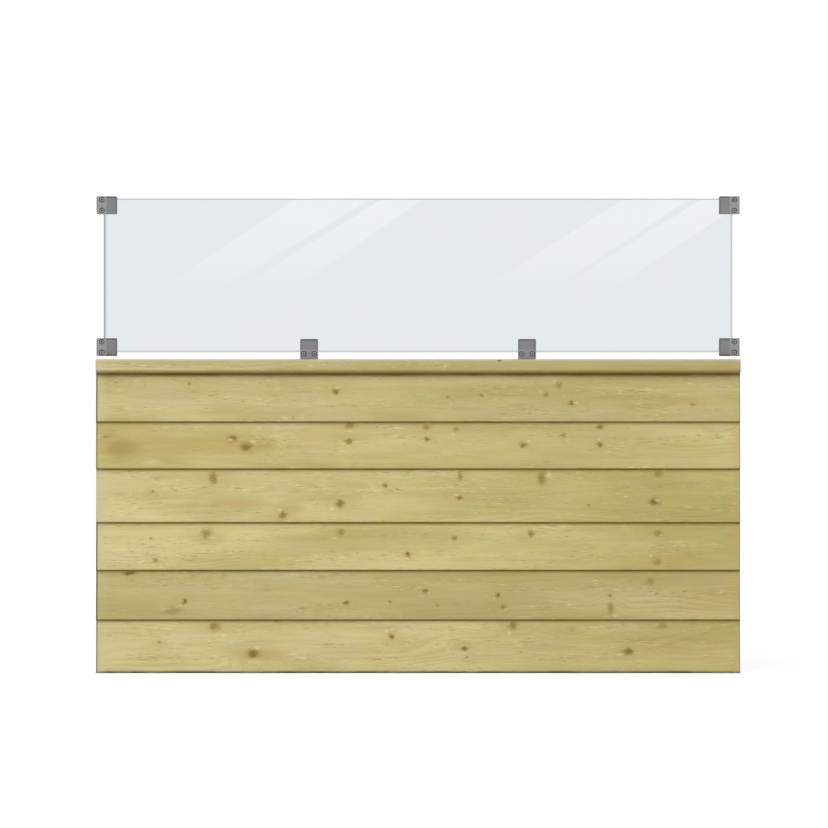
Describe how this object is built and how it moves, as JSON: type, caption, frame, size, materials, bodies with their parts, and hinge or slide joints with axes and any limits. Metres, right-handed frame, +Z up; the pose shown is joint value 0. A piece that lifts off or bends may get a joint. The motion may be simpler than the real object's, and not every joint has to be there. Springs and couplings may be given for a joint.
{
  "type": "wooden fence panel with glass screen",
  "caption": "Fence bay of lapped, pressure-treated pine boards under a proud top rail, with a clear glass screen held above by square metal clamps; hangs between two posts.",
  "frame": {"origin": "on the left end face, where it meets the left post, in the middle plane of the glass, level with the lower edge of the lowest board", "axes": "+X along the fence from the left post to the right one, +Y to the back, +Z up; the boards' faces and the clamp screws look along -Y"},
  "size_m": [1.74, 0.089, 1.289],
  "materials": {
    "pine": "planed pressure-treated pine, pale green-yellow with brown knots",
    "glass": "clear toughened glass with ground grey-green edges",
    "clamp_metal": "satin grey cast stainless steel",
    "pad_rubber": "matt black rubber"
  },
  "bodies": {
    "root": {"top_rail": "pine", "board_1": "pine", "board_2": "pine", "board_3": "pine", "board_4": "pine", "board_5": "pine", "board_6": "pine", "left_batten": "pine", "centre_batten": "pine", "right_batten": "pine", "glass_panel": "glass", "clamp_top_left_body": "clamp_metal", "clamp_top_left_cover": "clamp_metal", "clamp_top_left_pads": "pad_rubber", "clamp_top_right_body": "clamp_metal", "clamp_top_right_cover": "clamp_metal", "clamp_top_right_pads": "pad_rubber", "clamp_bottom_left_body": "clamp_metal", "clamp_bottom_left_cover": "clamp_metal", "clamp_bottom_left_pads": "pad_rubber", "clamp_bottom_right_body": "clamp_metal", "clamp_bottom_right_cover": "clamp_metal", "clamp_bottom_right_pads": "pad_rubber", "clamp_middle_left_body": "clamp_metal", "clamp_middle_left_cover": "clamp_metal", "clamp_middle_left_pads": "pad_rubber", "clamp_middle_right_body": "clamp_metal", "clamp_middle_right_cover": "clamp_metal", "clamp_middle_right_pads": "pad_rubber"}
  },
  "joints": []
}
